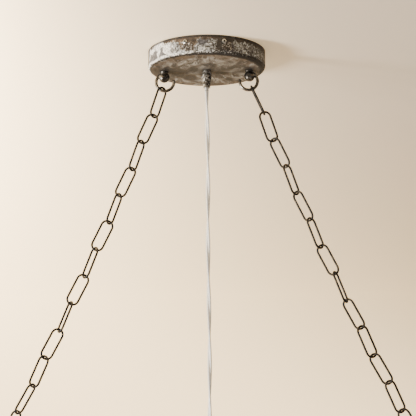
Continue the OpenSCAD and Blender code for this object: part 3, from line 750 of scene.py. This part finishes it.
def sweep(name, section, heights):
    mesh = bmesh.new()
    rings = []
    for z in heights:
        turn = math.radians(cord["phase"] + 360 * (cord["route"][0][2] - z) / cord["twist"])
        middleX, middleY = routeAt(z)
        ring = []
        for u, v in section(z):
            ring.append(mesh.verts.new(inMetres((
                middleX + u * math.cos(turn) - v * math.sin(turn),
                middleY + u * math.sin(turn) + v * math.cos(turn),
                z))))
        rings.append(ring)
    for upper, lower in zip(rings, rings[1:]):
        for k in range(len(upper)):
            n = (k + 1) % len(upper)
            mesh.faces.new((upper[n], upper[k], lower[k], lower[n]))
    mesh.faces.new(rings[0])
    mesh.faces.new(reversed(rings[-1]))
    bmesh.ops.recalc_face_normals(mesh, faces=mesh.faces)
    data = bpy.data.meshes.new(name)
    mesh.to_mesh(data)
    mesh.free()
    piece = bpy.data.objects.new(name, data)
    bpy.context.scene.collection.objects.link(piece)
    for face in data.polygons:
        face.use_smooth = True
    return piece


def jacketSection(z):
    lobe = cord["thickness"] / 2
    reach = cord["width"] / 2
    points = cord["points"]["jacket"]
    outline = []
    for k in range(points):
        angle = 2 * math.pi * (k + 0.5) / points
        u = reach * math.cos(angle)
        past = max(0.0, abs(u) - (reach - lobe))
        v = math.sqrt(max(0.0, lobe**2 - past**2))
        v *= 1 - cord["furrow"] * math.exp(-(u / cord["furrowWidth"]) ** 2)
        outline.append((u, v if math.sin(angle) > 0 else -v))
    return outline


def coreSection(side):
    middle = side * (cord["width"] - cord["thickness"]) / 2
    points = cord["points"]["core"]

    def section(z):
        outline = []
        for k in range(points):
            angle = 2 * math.pi * k / points
            lay = 2 * math.pi * z / cord["strandLay"]
            ridge = cord["strandDepth"] * math.cos(cord["strands"] * (angle - lay))
            r = cord["coreRadius"] * (1 + ridge)
            outline.append((middle + r * math.cos(angle), r * math.sin(angle)))
        return outline
    return section


def makeCord():
    steps = cord["steps"]
    made = {}
    for where, part in cord["parts"].items():
        jacket = sweep(f"cord{where}Jacket", jacketSection, heightsOf(part, steps["jacket"]))
        dress(jacket, "clear_cord")
        cores = [sweep(f"cord{where}Core{side}", coreSection(way), heightsOf(part, steps["core"]))
                 for side, way in (("Left", -1), ("Right", 1))]
        for core in cores:
            dress(core, "strands")
        for piece in (jacket, *cores):
            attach(piece, part["body"])
        made[where] = jacket, cores
    jacket, cores = made[""]
    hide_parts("cord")


makeCord()
print("stage: cord")


# Lamps: a thin glass flame, its brass screw base and a looped filament, for the CAD bulbs

lamp = {
    "count": 6,
    "height": 76,           # mm of glass above the candle sleeve
    "wide": 17.0,           # radius
    "neck": 5.9,
    "belly": 0.38,          # share of the height at which it is widest
    "skirt": -2.6,          # height at which the glass begins, inside the base
    "tip": (0.9, -0.5),     # the tip's radius, and how far below the height it ends
    "wall": 0.8,
    "rings": 28,
    "around": {"glass": 48, "base": 32, "mount": 20},
    "filament": [(-2.4, 0, 1), (-2.8, 0, 12), (-5.4, 0, 27), (-4.2, 0.6, 40), (-2.7, -0.6, 52),
                 (-1.4, 0.6, 40), (0, 0, 31), (1.4, 0.6, 40), (2.7, -0.6, 52), (4.2, 0.6, 40),
                 (5.4, 0, 27), (2.8, 0, 12), (2.4, 0, 1)],
    "wire": 0.28,
    "mount": [(3.6, -2), (3.2, 3), (2.2, 9), (1.6, 17), (1.9, 20), (1.2, 21.5)],
}

screwBase = {
    "foot": -24.4,                      # mm, height of its lower end
    "contact": [(2.2, 0), (4.2, 0.9)],  # radius and height above the foot
    "groove": 5.55,                     # radius between the threads and on their crests
    "crest": 5.85,
    "threads": 9,
    "pitch": 1.9,
    "firstGroove": 3.0,
    "firstThread": 3.6,
    "turn": (0.3, 0.8),                 # where a thread's crest and groove lie in its pitch
    "collar": -3.2,
    "lip": (0.95, (-2.4, -1.6)),        # inside the glass's neck, and its two heights
}


def bulbRadius(t):
    shape = math.log(0.5) / math.log(lamp["belly"])
    swell = lamp["wide"] - lamp["neck"] * (1 - lamp["belly"]) ** 2
    return lamp["neck"] * (1 - t) ** 2 + swell * math.sin(math.pi * t**shape)


def turnedShape(name, profile, around, closeEnds=True):
    deselectAll()
    bpy.ops.mesh.primitive_circle_add(vertices=around, radius=profile[0][0] * mm,
                                      location=(0, 0, profile[0][1] * mm))
    piece = bpy.context.object
    piece.name = name
    settle(piece)
    bpy.ops.object.mode_set(mode="EDIT")
    bpy.ops.mesh.select_mode(type="EDGE")
    bpy.ops.mesh.select_all(action="SELECT")
    if closeEnds:
        bpy.ops.mesh.edge_face_add()
        pickEdges(piece, lambda a, b: True)
    for (r0, z0), (r1, z1) in zip(profile, profile[1:]):
        bpy.ops.mesh.extrude_edges_move(
            TRANSFORM_OT_translate={"value": (0, 0, (z1 - z0) * mm)})
        bpy.ops.transform.resize(value=(r1 / r0, r1 / r0, 1), center_override=(0, 0, z1 * mm))
    bpy.ops.mesh.edge_face_add()
    bpy.ops.mesh.select_all(action="SELECT")
    bpy.ops.mesh.normals_make_consistent(inside=False)
    bpy.ops.object.mode_set(mode="OBJECT")
    bpy.ops.object.shade_smooth_by_angle(angle=smoothAngle)
    return piece


def makeGlass():
    tipRadius, tipDrop = lamp["tip"]
    profile = [(lamp["neck"], lamp["skirt"])]
    for i in range(lamp["rings"]):
        t = i / lamp["rings"]
        profile.append((bulbRadius(t), lamp["height"] * t))
    profile.append((tipRadius, lamp["height"] + tipDrop))
    glass = turnedShape("bulbGlass", profile, lamp["around"]["glass"], closeEnds=False)
    wall = glass.modifiers.new("wall", "SOLIDIFY")
    wall.thickness = lamp["wall"] * mm
    wall.offset = -1
    activate(glass)
    bpy.ops.object.modifier_apply(modifier="wall")
    bpy.ops.object.shade_smooth_by_angle(angle=smoothAngle)
    return glass


def makeBase():
    foot, groove, pitch = screwBase["foot"], screwBase["groove"], screwBase["pitch"]
    crestAt, grooveAt = screwBase["turn"]
    inside, lipHeights = screwBase["lip"]
    profile = [(radius, foot + height) for radius, height in screwBase["contact"]]
    profile.append((groove, foot + screwBase["firstGroove"]))
    for i in range(screwBase["threads"]):
        z = foot + screwBase["firstThread"] + i * pitch
        profile += [(screwBase["crest"], z + crestAt * pitch), (groove, z + grooveAt * pitch)]
    profile.append((groove, screwBase["collar"]))
    profile += [(lamp["neck"] - inside, z) for z in lipHeights]
    return turnedShape("bulbBase", profile, lamp["around"]["base"])


def makeFilament():
    line = bpy.data.curves.new("filamentLine", "CURVE")
    line.dimensions = "3D"
    line.bevel_depth = lamp["wire"] * mm
    line.bevel_resolution = 1
    line.resolution_u = 4
    line.use_fill_caps = True
    spline = line.splines.new("NURBS")
    spline.points.add(len(lamp["filament"]) - 1)
    for point, place in zip(spline.points, lamp["filament"]):
        point.co = (*inMetres(place), 1)
    spline.use_endpoint_u = True
    spline.order_u = 3
    wire = bpy.data.objects.new("filament", line)
    bpy.context.scene.collection.objects.link(wire)
    activate(wire)
    bpy.ops.object.convert(target="MESH")
    return bpy.context.object


def copyTo(piece, name, place):
    twin = piece.copy()
    twin.data = piece.data.copy()
    twin.data.transform(Matrix.Translation(place))
    twin.name = name
    bpy.context.scene.collection.objects.link(twin)
    return twin


def makeLamps():
    mount = turnedShape("bulbMount", lamp["mount"], lamp["around"]["mount"])
    patterns = {
        "bulbGlass": (makeGlass(), "lamp_glass", "lamp_glass"),
        "bulbBase": (makeBase(), "socket_brass", "socket_brass"),
        "bulbMount": (mount, "lamp_glass", "lamp_glass"),
        "bulbFilament": (makeFilament(), "filament", "zinc_steel"),
    }
    for i in range(1, lamp["count"] + 1):
        low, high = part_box(f"bulb_{i}")
        foot = Vector(((low.x + high.x) / 2, (low.y + high.y) / 2, high.z - lamp["height"] * mm))
        for name, (pattern, finish, slotName) in patterns.items():
            piece = copyTo(pattern, f"{name}{i}", foot)
            dress(piece, finish)
            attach(piece, "frame")
            if name == "bulbGlass":
                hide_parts(f"bulb_{i}")
    for pattern, finish, slotName in patterns.values():
        bpy.data.objects.remove(pattern)


makeLamps()
print("stage: lamps")


# Plain studio: one pale sheet from the ceiling down the back wall and over the floor, which a
# camera behind or above it sees through, with a warm glow on its left as in the photo

room = {
    "halfWidth": 6.0,
    "front": -4.4,
    "back": 4.8,
    "ceiling": 0.0004,
    "floor": -2.5,
    "cove": 1.0,                    # radius of the bends between ceiling, wall and floor
    "coveSteps": 32,
    "colour": (0.66, 0.59, 0.495),
    "shade": 0.985,                 # the darker clouds in it
    "clouds": (3, 2.0),
    "clouded": (0.3, 0.7),
    "roughness": 0.9,
    "gloss": 0.1,
    "glow": (1.0, 0.74, 0.40),
    "glowPower": 2.29,
    "glowAcross": (-2.6, -2.2),     # how fast it grows to the right, and how that bends
    "glowUpward": (-1.7, -9.0),
    "glowAslant": -24.1,            # its beam comes from the upper left to the lower right
    "glowMost": 6.5,
    # where it has faded out and where it is full, in metres and then as a slope
    "glowDepth": (-1.0, -0.2),
    "glowHeight": (-1.5, -0.62),
    "glowLeft": (-0.50, -0.235),
    "glowRight": (0.45, 0.165),
    "nearest": 0.2,
    "floorGlow": 0.30,
    "floorColour": (0.95, 0.89, 0.80),
    "floorFade": (0.9, 0.2),        # metres above the floor
    "air": (0.80, 0.735, 0.655),            # as a camera behind the sheet sees it
    "airLight": (0.155, 0.180, 0.215),      # as it falls on the object, cool as from a window
}


# the glow as it spreads on the ceiling and the wall, by sideways and upward slope from the fixed
# place of the photo's camera, so it stays where it is in every other view
def roomGlow(tree, x, y, z):
    startX, startY, startZ = camera["place"]
    far = maths(tree, "MAXIMUM", minus(tree, y, startY), room["nearest"])
    across = maths(tree, "DIVIDE", minus(tree, x, startX), far)
    upward = maths(tree, "DIVIDE", minus(tree, z, startZ), far)
    growth = times(tree, times(tree, across, upward), room["glowAslant"])
    for value, (slope, bend) in ((across, room["glowAcross"]), (upward, room["glowUpward"])):
        steep = plus(tree, times(tree, value, bend), slope)
        growth = plus(tree, growth, times(tree, value, steep))
    glow = times(tree, maths(tree, "POWER", math.e, growth), room["glowPower"])
    glow = maths(tree, "MINIMUM", glow, room["glowMost"])
    # and it stays within the picture, so that it lights the object little
    for value, fade in ((y, "glowDepth"), (z, "glowHeight"), (across, "glowLeft"),
                        (across, "glowRight")):
        glow = times(tree, glow, between(tree, value, *room[fade]))
    return glow


def roomMaterial():
    material, tree, shader = newMaterial("studioPaper")
    place = objectPlace(tree)
    x, y, z = axesOf(tree, place)
    first, last = room["clouded"]
    shaded = tuple(room["shade"] * c for c in room["colour"])
    clouds = noise(tree, place, *room["clouds"])
    tree.links.new(ramp(tree, clouds, [(first, shaded), (last, room["colour"])]),
                   shader.inputs["Base Color"])
    shader.inputs["Roughness"].default_value = room["roughness"]
    shader.inputs["Specular IOR Level"].default_value = room["gloss"]
    floor = between(tree, z, *(room["floor"] + above for above in room["floorFade"]))
    glow = plus(tree, roomGlow(tree, x, y, z), times(tree, floor, room["floorGlow"]))
    tree.links.new(blendColours(tree, floor, room["glow"], room["floorColour"]),
                   shader.inputs["Emission Color"])
    tree.links.new(glow, shader.inputs["Emission Strength"])
    behind = addNode(tree, "ShaderNodeNewGeometry").outputs["Backfacing"]
    clear = addNode(tree, "ShaderNodeBsdfTransparent")
    mixed = addNode(tree, "ShaderNodeMixShader", {
        0: behind, 1: shader.outputs[0], 2: clear.outputs[0]})
    tree.links.new(mixed.outputs[0], tree.nodes["Material Output"].inputs["Surface"])
    return material


def makeRoom():
    near = 0.01
    deselectAll()
    bpy.ops.mesh.primitive_plane_add(
        size=1, location=(0, (room["front"] + room["back"]) / 2, room["ceiling"]))
    sheet = bpy.context.object
    sheet.name = "studioSheet"
    sheet.scale = (2 * room["halfWidth"], room["back"] - room["front"], 1)
    settle(sheet)
    bpy.ops.object.mode_set(mode="EDIT")
    bpy.ops.mesh.select_mode(type="EDGE")
    pickEdges(sheet, lambda a, b: min(a.y, b.y) > room["back"] - near)
    bpy.ops.mesh.extrude_region_move(
        TRANSFORM_OT_translate={"value": (0, 0, room["floor"] - room["ceiling"])})
    bpy.ops.mesh.extrude_region_move(
        TRANSFORM_OT_translate={"value": (0, room["front"] - room["back"], 0)})
    pickEdges(sheet, lambda a, b: min(a.y, b.y) > room["back"] - near and abs(a.z - b.z) < near)
    bpy.ops.mesh.bevel(offset=room["cove"], segments=room["coveSteps"], affect="EDGES")
    bpy.ops.mesh.select_all(action="SELECT")
    bpy.ops.mesh.normals_make_consistent(inside=True)
    bpy.ops.object.mode_set(mode="OBJECT")
    bpy.ops.object.shade_smooth()
    # its faces look into the room, so the ceiling's look down
    first = sheet.data.polygons[0]
    halfway = (room["ceiling"] + room["floor"]) / 2
    if first.normal.z * (first.center.z - halfway) > 0:
        sheet.data.flip_normals()
    sheet.data.materials.append(roomMaterial())


makeRoom()
print("stage: room")


lights = {
    "key": {"place": (-1.55, -0.70, -0.80), "aim": (0.0, 0, -0.05), "width": 0.40, "height": 0.45,
            "power": 78, "colour": (1.0, 0.95, 0.88)},
}


def makeLights():
    for name, light in lights.items():
        aim = Vector(light["aim"]) - Vector(light["place"])
        bpy.ops.object.light_add(type="AREA", location=light["place"],
                                 rotation=aim.to_track_quat("-Z", "Y").to_euler())
        source = bpy.context.object
        source.name = name
        source.data.shape = "RECTANGLE"
        source.data.size = light["width"]
        source.data.size_y = light["height"]
        source.data.energy = light["power"]
        source.data.color = light["colour"]
        source.visible_camera = False
    world = bpy.data.worlds.new("studioAir")
    bpy.context.scene.world = world
    world.use_nodes = True
    # the air looks pale but lights the object only a little
    tree = world.node_tree
    back = tree.nodes["Background"]
    seen = addNode(tree, "ShaderNodeLightPath").outputs["Is Camera Ray"]
    tree.links.new(blendColours(tree, seen, room["airLight"], room["air"]), back.inputs[0])


makeLights()
print("stage: lights")
